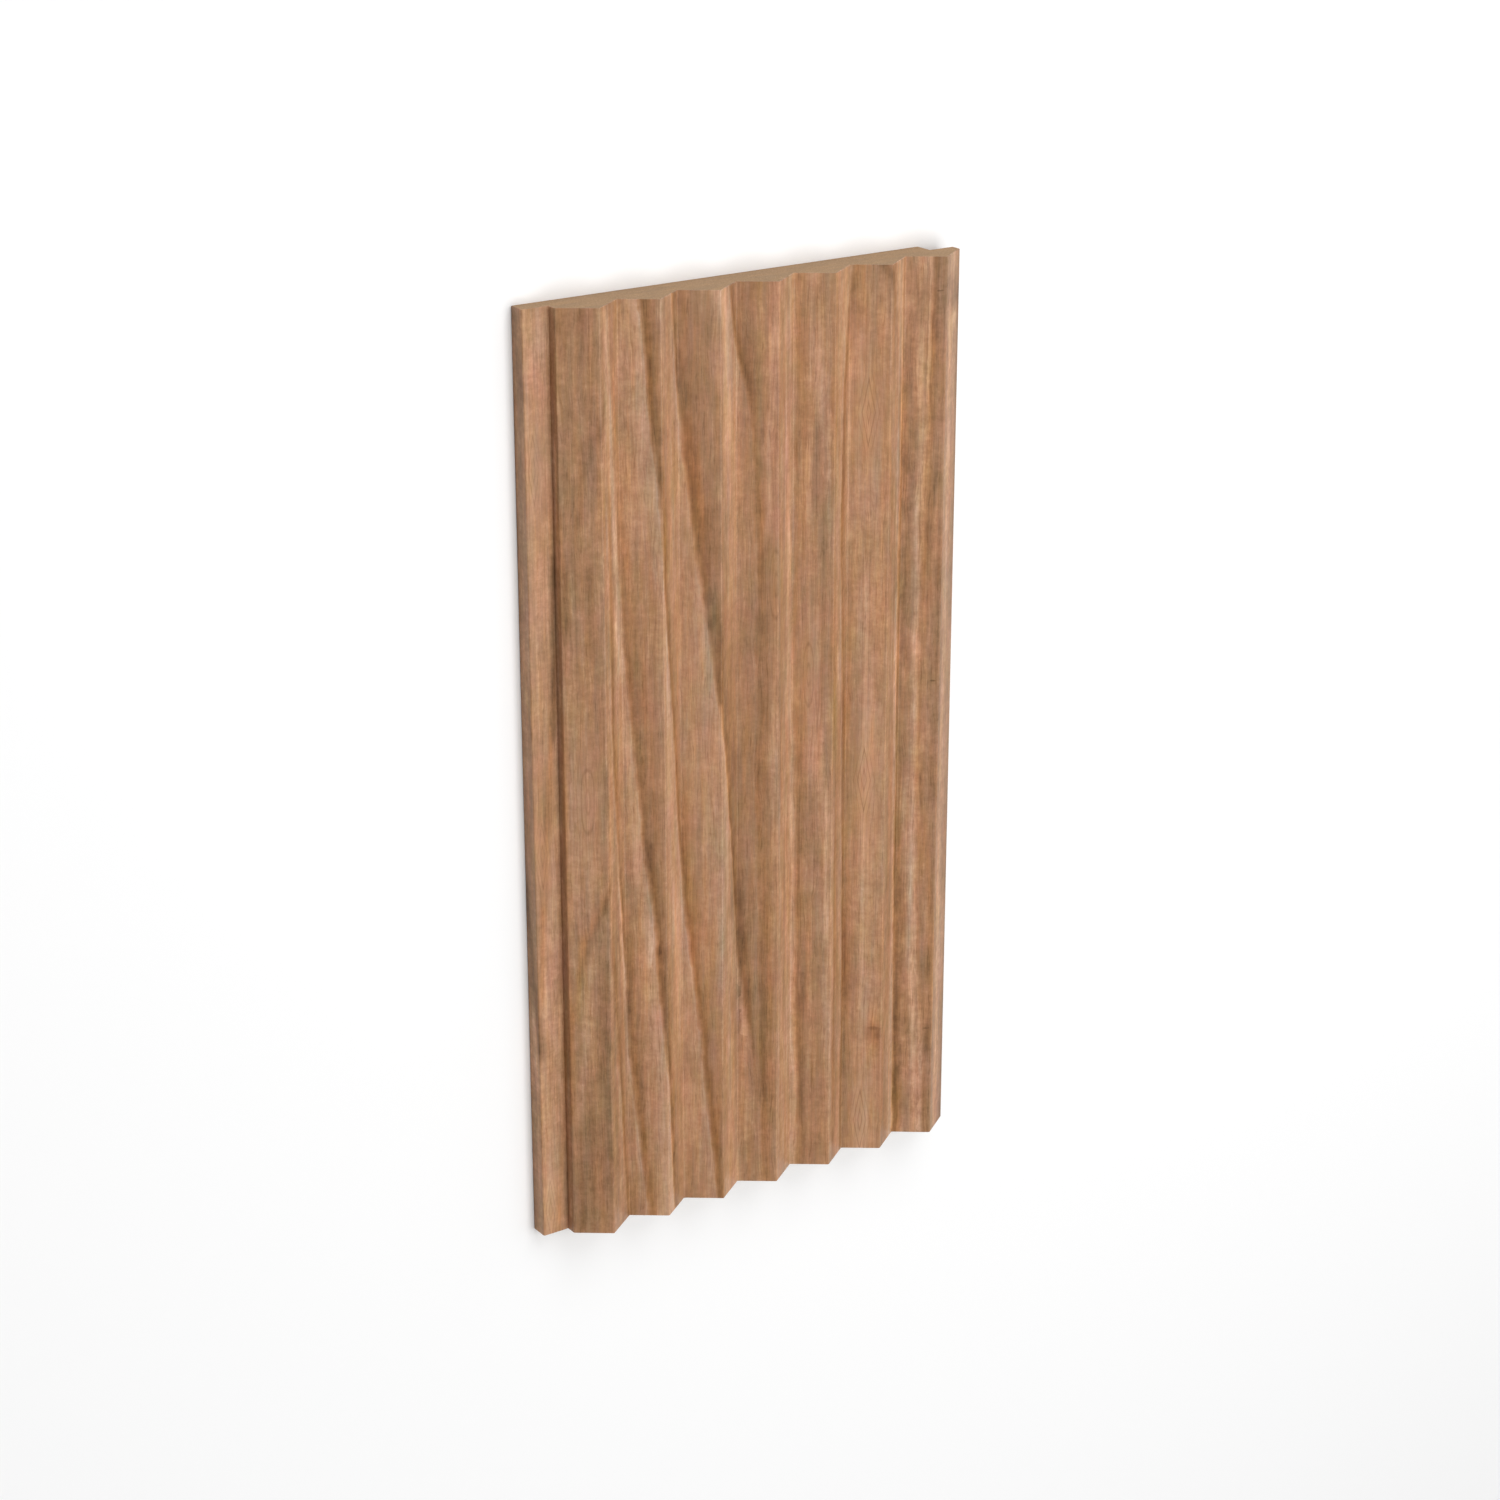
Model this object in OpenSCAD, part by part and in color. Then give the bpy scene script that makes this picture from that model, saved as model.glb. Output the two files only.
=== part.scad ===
// Ridged fibreboard wall panel with a wood veneer face and lapped long edges.
// It lies on its flat back: X across the ridges, Y along them, Z up out of the face.
// The origin is at the middle of the back, at floor level.
// The next panel's lip covers this one's tongue, so that the ridges run on without a step.

/* [Panel] */
// Length of the panel along its ridges
panel_length = 429; // [200:1:3050]
// Thickness of the finished panel over its crests
panel_t = 24.5; // [22:0.1:40]

/* [Ridges] */
// Number of ridges side by side, which sets the width that one panel covers
ridge_count = 7; // [2:1:20]
// Distance from one crest to the next
ridge_pitch = 30; // [20:0.5:34]
// Slope of both flanks of a ridge against the back, in degrees
flank_angle = 35.6; // [20:0.1:37]
// Rounding of the crests, on the face
crest_r = 0.8; // [0.7:0.1:3]
// Rounding of the valleys, on the face
valley_r = 0.5; // [0.3:0.1:3]

/* [Lapped edges] */
// Width of the tongue that the next panel's lip covers
tongue_w = 12.8; // [6:0.1:30]
// Thickness of the tongue, with its veneer
tongue_t = 8.8; // [4:0.1:9]
// Rounding of the arrises on the tongue, above the groove wall and on the lip
arris_r = 0.8; // [0.7:0.1:1]
// Clearance between a tongue and the lip over it, across and up
lap_gap = 0.2; // [0.1:0.05:0.5]

/* [Veneer] */
// Thickness of the veneer
veneer_t = 0.5; // [0.3:0.1:0.6]
// Strip of bare core that the trimming leaves below the veneer on the tongue's edge
veneer_trim = 0.3; // [0.2:0.1:2]

/* [Hidden] */
arc_steps = 8;

panel_w = tongue_w + ridge_count * ridge_pitch;
rebate_h = tongue_t + lap_gap;
lip_w = tongue_w + lap_gap;

// Face normals of a ridge's two flanks, of the panel's two long edges and of the tongue
left_flank = [-sin(flank_angle), cos(flank_angle)];
right_flank = [sin(flank_angle), cos(flank_angle)];
left_edge = [-1, 0];
right_edge = [1, 0];
up = [0, 1];

// Height at which two flanks would meet in a sharp valley
valley_z = panel_t
    + crest_r * (1 / cos(flank_angle) - 1)
    - ridge_pitch / 2 * tan(flank_angle);

// Drop of an arris's centre below the corner between a flank and an upright face
arris_drop = arris_r * (1 - sin(flank_angle)) / cos(flank_angle);

// Points of a rounding with radius r, from one face normal to the next round its centre
function arc(centre, from, to, r) =
    let (sweep = acos(from * to))
    [for (i = [0:arc_steps])
        let (t = i / arc_steps)
        centre + r * (sin((1 - t) * sweep) * from + sin(t * sweep) * to) / sin(sweep)];

// The roundings, at a depth d below the face: crests get sharper there, and valleys rounder
function crest(k, d) =
    arc([tongue_w + (k + 0.5) * ridge_pitch, panel_t - crest_r],
        left_flank, right_flank, crest_r - d);

function valley(k, d) =
    arc([tongue_w + (k + 1) * ridge_pitch, valley_z + valley_r / cos(flank_angle)],
        -right_flank, -left_flank, valley_r + d);

function tongue_arris(d) =
    arc([arris_r, tongue_t - arris_r], left_edge, up, arris_r - d);

function wall_arris(d) =
    arc([tongue_w + arris_r, valley_z - arris_drop], left_edge, left_flank, arris_r - d);

function lip_arris(d) =
    arc([panel_w - arris_r, valley_z - arris_drop], right_flank, right_edge, arris_r - d);

// Line across the panel at a depth d below its face, as [across, up] from the foot of the
// tongue's edge: over the tongue, up the groove wall, over the ridges and down the lip
function line_below_face(d) = concat(
    tongue_arris(d),
    [[tongue_w + d, tongue_t - d]],
    wall_arris(d),
    [for (k = [0:ridge_count - 1])
        for (p = concat(crest(k, d), k < ridge_count - 1 ? valley(k, d) : []))
            p],
    lip_arris(d),
    [[panel_w - d, rebate_h]]
);

function backwards(list) = [for (i = [len(list) - 1:-1:0]) list[i]];

face = line_below_face(0);
glue_line = line_below_face(veneer_t);

// Draws a section out along the whole panel, with the panel's middle at the origin
module along_panel() {
    translate([-panel_w / 2, 0, 0])
        rotate([90, 0, 0])
            linear_extrude(height = panel_length, center = true)
                children();
}

// The board: flat back, rebate under the lip, and the ridges that carry the veneer
module fibreboard_core() {
    foot = [veneer_t, 0];
    rebate = [[panel_w - lip_w, rebate_h], [panel_w - lip_w, 0]];
    color([0.68, 0.56, 0.44])
        along_panel()
            polygon(concat([foot], glue_line, rebate));
}

// One sheet of veneer, wrapped over the face and down both long edges
module wood_veneer() {
    outer_foot = [0, veneer_trim];
    inner_foot = [veneer_t, veneer_trim];
    color([0.66, 0.49, 0.36])
        along_panel()
            polygon(concat([outer_foot], face, backwards(glue_line), [inner_foot]));
}

fibreboard_core();
wood_veneer();
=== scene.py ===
# %% [markdown]
# # A ridged wall panel: wood veneer wrapped over fibreboard
#
# The panel is a length of fibreboard (MDF) with sharp zig-zag ridges machined into its face. A thin
# sheet of brown wood veneer is wrapped over the ridges and down both long edges, so the face looks
# like solid timber and only the cut ends and the back show the board. Each long edge is stepped: a
# tongue on the left, and a lip over a rebate on the right, so that the next panel laps over.
#
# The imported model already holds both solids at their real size. This lesson dresses them: it
# measures the solids, lays a finely divided skin where the veneer is, machines a board under it,
# and then spends most of its effort on the two finishes.

# %% Load the frame
import bpy
import numpy as np
from mathutils import Matrix, Vector


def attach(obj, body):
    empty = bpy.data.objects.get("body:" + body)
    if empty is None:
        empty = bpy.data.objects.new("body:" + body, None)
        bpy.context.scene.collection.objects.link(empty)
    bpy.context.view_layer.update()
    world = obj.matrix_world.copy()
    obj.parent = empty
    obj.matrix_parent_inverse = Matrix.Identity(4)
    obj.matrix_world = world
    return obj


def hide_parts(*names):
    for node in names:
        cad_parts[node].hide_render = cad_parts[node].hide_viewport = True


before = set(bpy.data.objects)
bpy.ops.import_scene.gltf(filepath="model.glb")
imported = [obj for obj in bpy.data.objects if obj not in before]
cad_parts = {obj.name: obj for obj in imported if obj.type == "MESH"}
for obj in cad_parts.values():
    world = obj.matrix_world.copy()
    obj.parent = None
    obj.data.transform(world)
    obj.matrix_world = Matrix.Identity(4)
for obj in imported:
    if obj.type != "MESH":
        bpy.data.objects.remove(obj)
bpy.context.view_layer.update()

MM = 0.001

# %% [markdown]
# ## Measuring the solids
#
# The skin has to lie exactly on the solids, so its sizes are read off them instead of being typed
# in again. The veneer's lowest and highest corners give the panel's width, length and thickness.
# The tongue's thickness is the highest point above the tongue, and the rebate's height is the
# lowest point of the veneer on the lip. Only what can't be read off a box is named here: the pitch
# and slope of the ridges and the radii of their edges.

# %% Sizes, in metres
RIDGE_PITCH = 30 * MM
FLANK_ANGLE = np.radians(35.6)
CREST_R = 0.8 * MM
VALLEY_R = 0.5 * MM
ARRIS_R = 0.8 * MM
ARC_STEPS = 8


def corners_of(node):
    """All vertices of one solid as an array of points."""
    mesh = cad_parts[node].data
    flat = np.empty(3 * len(mesh.vertices), np.float32)
    mesh.vertices.foreach_get("co", flat)
    return flat.reshape(-1, 3).astype(float)


skin_points = corners_of("wood_veneer")
core_points = corners_of("fibreboard_core")
left, bottom, foot_z = skin_points.min(0)
right, top, PANEL_T = skin_points.max(0)
PANEL_W = right - left
PANEL_L = top - bottom
VENEER_T = core_points[:, 0].min() - left
RIDGES = int(PANEL_W // RIDGE_PITCH)
TONGUE_W = PANEL_W - RIDGES * RIDGE_PITCH
TONGUE_T = skin_points[skin_points[:, 0] < left + TONGUE_W / 2, 2].max()
REBATE_H = skin_points[skin_points[:, 0] > right - VENEER_T / 2, 2].min()
REBATE_X = core_points[core_points[:, 2] < REBATE_H / 2, 0].max()
print("panel %.1f x %.1f x %.1f mm" % tuple(np.array([PANEL_W, PANEL_L, PANEL_T]) / MM),
      "- %d ridges, tongue %.1f x %.1f mm," % (RIDGES, TONGUE_W / MM, TONGUE_T / MM),
      "rebate %.1f mm high, veneer %.2f mm" % (REBATE_H / MM, VENEER_T / MM))

# %% [markdown]
# ## The section, as a line across the panel
#
# Everything on this panel is a section drawn out along Y. On the real machine the section is the
# shape of the cutters, and the veneer is pressed onto it by rows of small rollers. So the one thing
# worth getting right is the line across the face: over the tongue, up the groove wall, over seven
# ridges and down the lip. Its straight parts meet in small roundings, because a veneer cracks over
# a knife edge. A rounding keeps its centre when the line is moved in by the veneer's thickness:
# crests get sharper under the veneer, and valleys get rounder.

# %% The line across the face
LEFT_FLANK = np.array([-np.sin(FLANK_ANGLE), np.cos(FLANK_ANGLE)])
RIGHT_FLANK = np.array([np.sin(FLANK_ANGLE), np.cos(FLANK_ANGLE)])
UP = np.array([0.0, 1.0])
TO_LEFT = np.array([-1.0, 0.0])
TO_RIGHT = np.array([1.0, 0.0])
VALLEY_Z = PANEL_T + CREST_R * (1 / np.cos(FLANK_ANGLE) - 1) - RIDGE_PITCH / 2 * np.tan(FLANK_ANGLE)
ARRIS_DROP = ARRIS_R * (1 - np.sin(FLANK_ANGLE)) / np.cos(FLANK_ANGLE)


def arc(centre, start, end, radius):
    """Points round a centre: centre + radius * the two directions mixed at constant length, which is
    (sin((1 - t) * sweep) * start + sin(t * sweep) * end) / sin(sweep) for t from 0 to 1."""
    sweep = np.arccos(start @ end)
    t = np.linspace(0, 1, ARC_STEPS + 1)[:, None]
    return centre + radius * (np.sin((1 - t) * sweep) * start + np.sin(t * sweep) * end) / np.sin(sweep)


def face_line(depth):
    """The line across the panel at a depth below its face, as (x, z) points from the tongue's foot
    to the lip's: straight between roundings whose radius is their own size less or plus the depth."""
    wall_x = left + TONGUE_W
    crest_x = wall_x + (np.arange(RIDGES) + 0.5) * RIDGE_PITCH
    valley_x = wall_x + np.arange(1, RIDGES) * RIDGE_PITCH
    crests = [arc((x, PANEL_T - CREST_R), LEFT_FLANK, RIGHT_FLANK, CREST_R - depth) for x in crest_x]
    valleys = [arc((x, VALLEY_Z + VALLEY_R / np.cos(FLANK_ANGLE)), -RIGHT_FLANK, -LEFT_FLANK,
                   VALLEY_R + depth) for x in valley_x]
    ridges = [part for pair in zip(crests, valleys + [np.empty((0, 2))]) for part in pair]
    return np.vstack([
        [(left + depth, foot_z)],
        arc((left + ARRIS_R, TONGUE_T - ARRIS_R), TO_LEFT, UP, ARRIS_R - depth),
        [(wall_x + depth, TONGUE_T - depth)],
        arc((wall_x + ARRIS_R, VALLEY_Z - ARRIS_DROP), TO_LEFT, LEFT_FLANK, ARRIS_R - depth),
        *ridges,
        arc((right - ARRIS_R, VALLEY_Z - ARRIS_DROP), RIGHT_FLANK, TO_RIGHT, ARRIS_R - depth),
        [(right - depth, REBATE_H)],
    ])


face = face_line(0)
glue = face_line(VENEER_T)
print("face line: %d corners, highest %.2f mm, glue line's highest %.2f mm"
      % (len(face), face[:, 1].max() / MM, glue[:, 1].max() / MM))

# %% [markdown]
# ## From a line to a mesh
#
# A surface drawn along Y is a grid: one parameter runs along the line, the other along the panel.
# Both helpers below work on whole arrays. `refine` adds points on the long straight parts, because
# the wood's figure is stored on the points and needs them about a millimetre apart. `make_mesh`
# hands arrays to Blender in one go and marks edges as sharp where two faces meet at over 30
# degrees, which leaves the roundings smooth.

# %% Mesh helpers
SHARP_OVER = np.radians(30)


def refine(line, pieces):
    """Cuts stretch k of a line into pieces[k] equal parts: start + share * (end - start)."""
    cut_before = np.repeat(np.cumsum(pieces) - pieces, pieces)
    share = (np.arange(pieces.sum()) - cut_before) / np.repeat(pieces, pieces)
    start = np.repeat(line[:-1], pieces, axis=0)
    end = np.repeat(line[1:], pieces, axis=0)
    return np.vstack([start + share[:, None] * (end - start), line[-1:]])


def ring_quads(rows, ring):
    """Corner numbers of the quads between the rows of a closed ring: row * ring + place, where the
    last place is followed by the first."""
    row, place = np.meshgrid(np.arange(rows - 1), np.arange(ring), indexing="ij")
    here, after = row * ring + place, row * ring + (place + 1) % ring
    return np.stack([here, after, after + ring, here + ring], -1).reshape(-1, 4)


def make_mesh(name, points, faces):
    """A mesh from an array of points and a list of face arrays, each array holding faces of one size."""
    corners = np.concatenate([part.ravel() for part in faces]).astype(np.int32)
    sizes = np.concatenate([np.full(len(part), part.shape[1]) for part in faces])
    mesh = bpy.data.meshes.new(name)
    mesh.vertices.add(len(points))
    mesh.vertices.foreach_set("co", np.asarray(points, np.float32).ravel())
    mesh.loops.add(len(corners))
    mesh.loops.foreach_set("vertex_index", corners)
    mesh.polygons.add(len(sizes))
    mesh.polygons.foreach_set("loop_start", (np.cumsum(sizes) - sizes).astype(np.int32))
    mesh.update(calc_edges=True)
    mesh.validate()
    mesh.shade_smooth()
    mesh.set_sharp_from_angle(angle=SHARP_OVER)
    return mesh


def add_piece(name, mesh, node):
    """Puts a mesh in the scene as the piece that stands for one of the solids."""
    piece = bpy.data.objects.new(name, mesh)
    bpy.context.scene.collection.objects.link(piece)
    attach(piece, "root")
    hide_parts(node)
    print("%s: %d points, %d faces" % (name, len(mesh.vertices), len(mesh.polygons)))


# %% [markdown]
# ## The sheet of veneer
#
# The real sheet is half a millimetre of wood. It could be a Solidify modifier on a single surface,
# but then the two feet would be cut square to the surface instead of level with the board. Here the
# sheet is worked out directly: the face line going over, the glue line coming back, and the ring
# they make drawn out along Y. At both cut ends the maker breaks the sharp arris with a stroke or
# two of sandpaper, never quite evenly. So the last row of the face dips below it by a tenth or two
# of a millimetre.

# %% The veneer's rings
GRID_ACROSS = 1.1 * MM
GRID_ALONG = 4 * MM
EASED = 0.16 * MM
EASED_VARIES = 0.07 * MM
UNEVEN_STEP = 0.35
rng = np.random.default_rng(30)

stretch = np.linalg.norm(np.diff(face, axis=0), axis=1)
pieces = np.maximum(np.ceil(stretch / GRID_ACROSS).astype(int), 1)
outside = refine(face, pieces)
inside = refine(glue, pieces)
inward = (inside - outside) / VENEER_T

rows_along = int(np.ceil(PANEL_L / GRID_ALONG))
along = np.concatenate([[bottom], np.linspace(bottom + EASED, top - EASED, rows_along), [top]])

uneven = np.cumsum(rng.normal(size=(2, len(outside))), axis=1)
uneven = np.sin(uneven * UNEVEN_STEP) * EASED_VARIES
dip = np.zeros((len(along), len(outside)))
dip[0] = EASED + uneven[0]
dip[-1] = EASED + uneven[1]

over = outside[None] + inward[None] * dip[..., None]
back = np.broadcast_to(inside[::-1], over.shape)
ring = np.concatenate([over, back], axis=1)
sheet_points = np.stack([ring[..., 0], np.broadcast_to(along[:, None], ring.shape[:2]), ring[..., 1]], -1)
print("veneer grid: %d points round the sheet, %d rows along it" % (ring.shape[1], ring.shape[0]))

# %% [markdown]
# The two cut ends are narrow strips between the face line and the glue line. Both lines have the
# same number of points, so a strip is one row of quads.

# %% The veneer's mesh
ring_size = ring.shape[1]
first = np.arange(len(outside) - 1)
strip = np.stack([first, ring_size - 1 - first, ring_size - 2 - first, first + 1], -1)
last_row = (len(along) - 1) * ring_size
sheet_mesh = make_mesh("veneer_sheet", sheet_points.reshape(-1, 3),
                       [ring_quads(len(along), ring_size), strip, last_row + strip[:, ::-1]])
add_piece("veneer_sheet", sheet_mesh, "wood_veneer")

# %% [markdown]
# ## The sheet laid flat
#
# The figure of the wood doesn't know about the ridges: the sheet was flat when it was cut, and was
# bent afterwards. So every pattern is drawn on the flat sheet. Its UV map is in metres: U is the
# distance over the ridges from the tongue's foot, and V the distance from the lower end. A grain
# line drawn in this map runs over a crest without a break, as it does in wood.

# %% Flat coordinates
across_flat = np.concatenate([[0], np.cumsum(np.linalg.norm(np.diff(outside, axis=0), axis=1))])
across_ring = np.concatenate([across_flat, across_flat[::-1]])
flat_u = np.broadcast_to(across_ring, ring.shape[:2])
flat_v = np.broadcast_to((along - bottom)[:, None], ring.shape[:2])
SHEET_W = across_flat[-1]
across_mm = flat_u / MM
down_mm = (PANEL_L - flat_v) / MM

corner_numbers = np.empty(len(sheet_mesh.loops), np.int32)
sheet_mesh.loops.foreach_get("vertex_index", corner_numbers)
flat_uv = np.stack([flat_u.ravel(), flat_v.ravel()], -1)[corner_numbers]
unrolled = sheet_mesh.uv_layers.new(name="unrolled")
unrolled.uv.foreach_set("vector", flat_uv.astype(np.float32).ravel())
print("the sheet is %.1f mm wide when laid flat" % (SHEET_W / MM))

# %% [markdown]
# ## Growth lines
#
# The dark streaks in the veneer are the ends of growing seasons. Each one has a sharp edge on its
# left, is darkest just past that edge, and fades over some millimetres. On the left half of this
# sheet they lie at a slant, because the flitch was cut a little off the trunk's line, and on the
# right half they run straight. Noise can't place them, and a painted image would be somebody's
# picture. So they are laid out like a joiner's marking-out: for each line, where its edge crosses
# the sheet at a few distances from the upper end, and how dark it is there.
#
# The material needs to know between which two lines a point lies, and how far along the way. That
# is one number, the growth count: 2.3 is three tenths of the way from line 2 to line 3. It has no
# jumps, so the mesh can carry it, and the material finds the edge at each whole number.

# %% Growth lines: fade in mm at the upper end, middle and lower end, then (down, across, darkness)
GROWTH_LINES = (
    ((3, 2, 3), (0, 41, 0), (245, 45, 0.2), (306, 48.5, 0.5), (340, 51.5, 0.8), (370, 54.5, 0.8),
     (400, 57, 0.8), (429, 59, 0.8)),
    ((2, 3, 2), (0, 48, 0), (60, 48.5, 0.1), (120, 49, 0.6), (185, 49.5, 0.9), (245, 54.5, 0.9),
     (305, 61, 1.1), (370, 65.5, 1.1), (429, 71, 1.1)),
    ((10, 5, 5), (0, 52, 0.2), (40, 53.5, 0.2), (80, 56.5, 0.3), (110, 59.5, 0.4), (140, 62, 0.6),
     (185, 65.5, 0.8), (215, 68, 0.8), (245, 70.5, 1), (275, 74, 1), (300, 76, 1.1),
     (340, 79, 1.1), (370, 82.5, 1), (429, 86.5, 1)),
    ((3, 3, 2), (0, 71, 1.4), (60, 76, 1.4), (95, 79.5, 1.2), (125, 81.5, 1.2), (150, 84.5, 1.1),
     (185, 88.5, 1.1), (245, 96, 1.1), (305, 102.5, 1.3), (370, 108.5, 1.3), (429, 115, 1.3)),
    ((14, 10, 5), (0, 92, 0.7), (60, 99, 0.7), (100, 104, 0.8), (140, 109, 0.8), (185, 116, 0.9),
     (215, 120.5, 0.9), (245, 125.5, 0.9), (280, 130.5, 0.9), (305, 134, 0.9), (340, 139, 0.8),
     (358, 141.5, 0.2), (429, 145, 0.1)),
    ((4, 2, 4), (0, 127, 0.9), (20, 131.5, 0.9), (48, 140, 0.8), (58, 142.5, 0.5), (80, 143.5, 0.6),
     (140, 144, 0.7), (200, 144, 0.8), (245, 144, 0.7), (305, 145, 0.6), (360, 145.5, 0.5),
     (429, 147, 0.4)),
    ((2, 3, 8), (0, 172.5, 0.6), (140, 172.5, 0.6), (200, 172.5, 0.5), (260, 174, 0.7),
     (345, 173.5, 0.5), (400, 175, 0.6), (429, 175.5, 0.6)),
    ((1, 1.5, 3), (0, 189, 0.5), (130, 189, 0.5), (200, 190, 0.8), (222, 191, 0.1), (232, 193, 0.1),
     (250, 194, 1), (300, 193.5, 0.8), (429, 194, 0.8)),
    ((5, 4, 4), (0, 210.5, 0.6), (15, 206.5, 0.6), (30, 203.5, 0.7), (60, 201, 0.8), (100, 199.5, 0.9),
     (130, 199, 0.8), (150, 200.5, 0.7), (170, 201.5, 0.7), (240, 203.5, 0.6), (280, 205, 0.7),
     (320, 206, 0.9), (345, 206.5, 0.9), (380, 205.5, 0.8), (429, 204.5, 0.7)),
    ((14, 9, 5), (0, 242, 0.4), (60, 242.5, 0.5), (130, 241.5, 0.6), (262, 241.5, 0.6),
     (285, 241.5, 0.8), (300, 242.5, 0.9), (345, 244, 1), (429, 245, 1.2)),
    ((12, 11, 11), (0, 257, 0.4), (60, 256, 0.4), (120, 255, 0.4), (180, 253.5, 0.3), (225, 254, 0.3),
     (300, 255, 0.3), (340, 256, 0.3), (380, 258, 0.4), (429, 259.5, 0.4)),
    ((3, 3, 3), (0, 263.5, 0), (429, 263.5, 0)),
)
print("growth lines: %d" % len(GROWTH_LINES))

# %% [markdown]
# Between two marks a line runs straight, and a moving average over two centimetres then rounds its
# corners. What belongs to a line, such as its darkness, is kept up to half way to the next line and
# has become the next line's before the edge is reached. So it may be read on either side.

# %% Growth lines spread over the sheet
ROUNDED_OVER = 5
KEPT_UNTIL = 0.5
GOES_OVER_IN = 0.35


def along_rows(marks):
    """Values for every row of the mesh: linear between the marks, then the mean of nearby rows."""
    down = (top - along) / MM
    rows = np.interp(down, [mark[0] for mark in marks], [mark[1] for mark in marks])
    half = ROUNDED_OVER // 2
    padded = np.pad(rows, half, mode="reflect", reflect_type="odd")
    return np.stack([padded[k:k + len(rows)] for k in range(ROUNDED_OVER)]).mean(0)


places = [along_rows([(down, across) for down, across, dark in marks]) for fade, *marks in GROWTH_LINES]
darkness = [along_rows([(down, dark) for down, across, dark in marks]) for fade, *marks in GROWTH_LINES]
fades = [np.interp(top - along, (0, PANEL_L / 2, PANEL_L), fade) for fade, *marks in GROWTH_LINES]
foot, lip_end = np.zeros(len(along)), np.full(len(along), SHEET_W)
line_at = np.column_stack([foot] + [place * MM for place in places] + [lip_end])
gap = np.diff(line_at, axis=1)
passed = np.clip((across_ring[None, :, None] - line_at[:, None, :-1]) / gap[:, None], 0, 1)
growth_count = passed.sum(-1)
band = np.clip(np.ceil(growth_count).astype(int) - 1, 0, len(GROWTH_LINES))
towards_next = np.clip((growth_count - band - KEPT_UNTIL) / GOES_OVER_IN, 0, 1)


def of_line(values, before_first):
    """A line's own value in its band, going over to the next line's: (1 - w) * own + w * next."""
    with_ends = np.column_stack([before_first, *values, values[-1]])
    own = np.take_along_axis(with_ends, band, axis=1)
    following = np.take_along_axis(with_ends, band + 1, axis=1)
    return (1 - towards_next) * own + towards_next * following


growth_darkness = of_line(darkness, np.zeros(len(along)))
growth_fade = of_line(fades, fades[0])
growth_gap = of_line(list(gap[:, 1:].T / MM), gap[:, 0] / MM)
print("gaps between growth lines: %.0f to %.0f mm" % (gap.min() / MM, gap.max() / MM))

# %% [markdown]
# ## Broad bands and strokes
#
# Between the growth lines the wood is not one colour. Broad bands of paler and darker wood run the
# whole length. On top of them lie shorter soft strokes: pale tongues beside the slanting lines, the
# arch of a buried twig on the first ridge, a few small knots. All of them are added up as one tone
# for each point, where 0.1 is about a tenth more light.

# %% Broad bands: place across the sheet, and tone at the upper end, the middle and the lower end
BANDS = np.array([
    (0, 0, -0.2, 0), (6, 0.1, 0, 0.1), (14, 0, -0.1, 0), (24, 0, 0, -0.1), (30, -0.2, 0, -0.1),
    (38, -0.2, 0, -0.2), (46, 0, 0, 0), (54, 0, 0, -0.1), (62, 0.1, 0.1, -0.1), (70, 0.2, 0.2, 0),
    (76, 0, 0.1, 0.2), (90, 0.1, 0.1, 0.2), (100, 0.2, 0, 0), (114, 0.2, 0.2, 0), (126, 0.1, 0.2, 0.1),
    (134, 0.1, 0, 0.1), (142, 0, -0.2, 0), (150, 0, 0, 0), (160, 0, -0.1, 0), (168, 0, 0.1, 0.1),
    (180, 0, 0.1, 0.2), (188, 0, 0, 0.1), (200, 0.1, 0, -0.1), (211, 0.3, 0, 0.1), (220, 0, 0.2, 0.2),
    (232, 0.1, 0, -0.1), (239, 0.3, 0.1, 0.1), (246, 0.2, 0.1, 0.4), (254, 0.3, 0.1, 0.4),
    (259, 0.1, 0, 0.3), (263, -0.2, -0.2, -0.3), (270, 0.2, 0.1, 0.1), (282, -0.1, -0.1, -0.4),
])


def across_sheet(table):
    """Each column after the first, read in straight lines at every point's place across the sheet."""
    return [np.interp(across_mm, table[:, 0], column) for column in table.T[1:]]


at_top, at_middle, at_bottom = across_sheet(BANDS)
down_share = (PANEL_L - flat_v) / PANEL_L
upper_half = np.clip(2 * down_share, 0, 1)
lower_half = np.clip(2 * down_share - 1, 0, 1)
band_tone = at_top + upper_half * (at_middle - at_top) + lower_half * (at_bottom - at_middle)
print("bands: tone %.2f to %.2f" % (band_tone.min(), band_tone.max()))

# %% [markdown]
# Some parts of the sheet are livelier than others. Straight-grained wood shows fine lines that run
# the whole length, and wood cut near the slanting lines shows more mottle instead. Two factors per
# place say how strong each is, with 1 as the usual strength.

# %% Liveliness: place across the sheet, strength of the streaks, strength of the mottle
LIVELINESS = np.array([
    (0, 2, 1.5), (10, 1.2, 1.2), (40, 1.2, 1.2), (55, 2, 1.2), (75, 1, 1), (105, 0.8, 0.8),
    (140, 1.2, 1), (160, 2, 1), (170, 2, 1), (185, 1.2, 1), (225, 1, 1), (235, 1.8, 1), (265, 2, 1.2),
])
streak_strength, mottle_strength = across_sheet(LIVELINESS)
print("streaks: strength %.1f to %.1f" % (streak_strength.min(), streak_strength.max()))

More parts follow.
